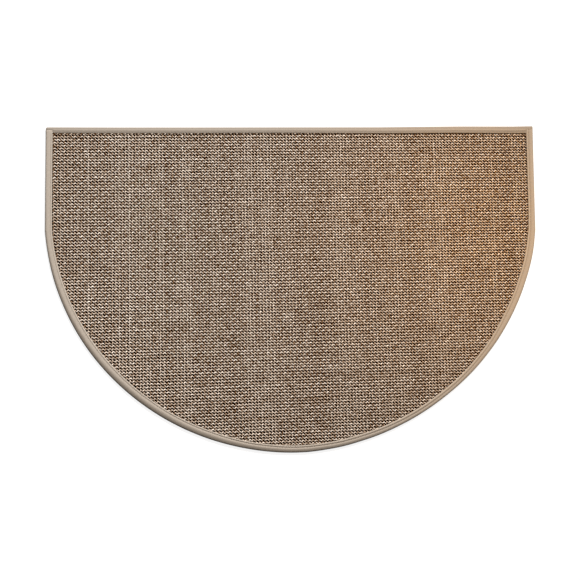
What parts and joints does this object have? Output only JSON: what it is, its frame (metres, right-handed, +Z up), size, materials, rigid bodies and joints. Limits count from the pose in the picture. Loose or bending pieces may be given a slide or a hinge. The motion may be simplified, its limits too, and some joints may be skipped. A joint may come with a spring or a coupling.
{
  "type": "half-round doormat",
  "caption": "Half-round doormat of coarse woven natural fibre with a sewn tape binding, one straight edge and one curved edge",
  "frame": {"origin": "on the floor, under the middle of the mat's bounding box", "axes": "+X along the straight edge, +Y towards the straight edge, +Z up out of the face"},
  "size_m": [0.9151, 0.611, 0.0066],
  "materials": {
    "woven_cloth": "coarse natural fibre in a plain weave, rough and matt",
    "binding_tape": "pale beige woven tape, matt"
  },
  "bodies": {
    "root": {"woven_panel": "woven_cloth", "side_binding": "binding_tape", "top_binding": "binding_tape"}
  },
  "joints": []
}
